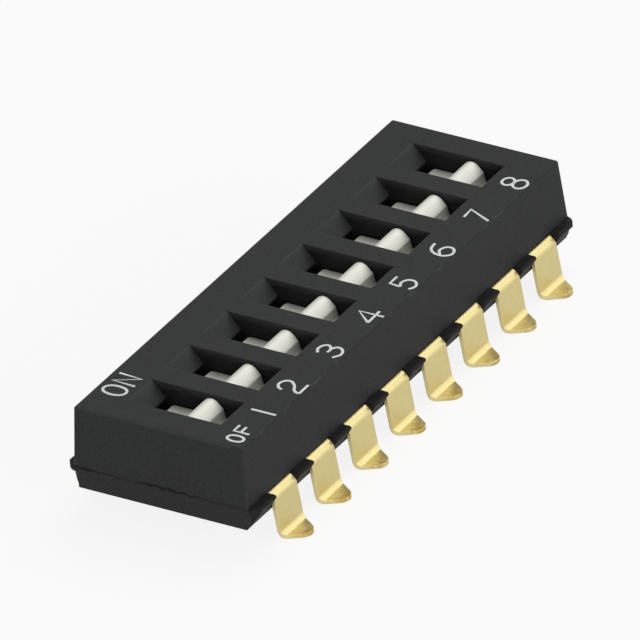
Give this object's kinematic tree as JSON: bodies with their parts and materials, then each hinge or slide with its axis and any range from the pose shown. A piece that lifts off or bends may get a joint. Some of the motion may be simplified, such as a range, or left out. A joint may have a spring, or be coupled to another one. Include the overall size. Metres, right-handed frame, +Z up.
{
  "type": "dip switch",
  "caption": "Surface-mount DIP switch: a black moulded body with a row of recessed cream slide switches and gold gull-wing terminals along both long sides.",
  "frame": {"origin": "centre of the footprint, on the plane that the feet's undersides stand on", "axes": "+X along the row from switch 1 to the last switch, +Y towards the side marked ON, +Z up from the board"},
  "size_m": [0.022, 0.0098, 0.0042],
  "materials": {
    "cover_plastic": "satin moulded",
    "base_plastic": "smooth moulded",
    "slider_plastic": "satin moulded",
    "spring_contact": "gold-plated copper alloy strip",
    "gold_plate": "gold-plated copper alloy strip"
  },
  "bodies": {
    "housing": {"cover": "cover_plastic", "base": "base_plastic", "terminal_1": "gold_plate", "terminal_2": "gold_plate", "terminal_3": "gold_plate", "terminal_4": "gold_plate", "terminal_5": "gold_plate", "terminal_6": "gold_plate", "terminal_7": "gold_plate", "terminal_8": "gold_plate", "terminal_9": "gold_plate", "terminal_10": "gold_plate", "terminal_11": "gold_plate", "terminal_12": "gold_plate", "terminal_13": "gold_plate", "terminal_14": "gold_plate", "terminal_15": "gold_plate", "terminal_16": "gold_plate"},
    "switch_1": {"slider_1": "slider_plastic", "contact_1": "spring_contact"},
    "switch_2": {"slider_2": "slider_plastic", "contact_2": "spring_contact"},
    "switch_3": {"slider_3": "slider_plastic", "contact_3": "spring_contact"},
    "switch_4": {"slider_4": "slider_plastic", "contact_4": "spring_contact"},
    "switch_5": {"slider_5": "slider_plastic", "contact_5": "spring_contact"},
    "switch_6": {"slider_6": "slider_plastic", "contact_6": "spring_contact"},
    "switch_7": {"slider_7": "slider_plastic", "contact_7": "spring_contact"},
    "switch_8": {"slider_8": "slider_plastic", "contact_8": "spring_contact"}
  },
  "joints": [
    {"name": "switch_1_slide", "type": "slide", "parent": "housing", "child": "switch_1", "axis": [0, 1, 0], "range_m": [0, 0.001]},
    {"name": "switch_2_slide", "type": "slide", "parent": "housing", "child": "switch_2", "axis": [0, 1, 0], "range_m": [0, 0.001]},
    {"name": "switch_3_slide", "type": "slide", "parent": "housing", "child": "switch_3", "axis": [0, 1, 0], "range_m": [0, 0.001]},
    {"name": "switch_4_slide", "type": "slide", "parent": "housing", "child": "switch_4", "axis": [0, 1, 0], "range_m": [0, 0.001]},
    {"name": "switch_5_slide", "type": "slide", "parent": "housing", "child": "switch_5", "axis": [0, 1, 0], "range_m": [0, 0.001]},
    {"name": "switch_6_slide", "type": "slide", "parent": "housing", "child": "switch_6", "axis": [0, 1, 0], "range_m": [0, 0.001]},
    {"name": "switch_7_slide", "type": "slide", "parent": "housing", "child": "switch_7", "axis": [0, 1, 0], "range_m": [0, 0.001]},
    {"name": "switch_8_slide", "type": "slide", "parent": "housing", "child": "switch_8", "axis": [0, 1, 0], "range_m": [0, 0.001]}
  ]
}
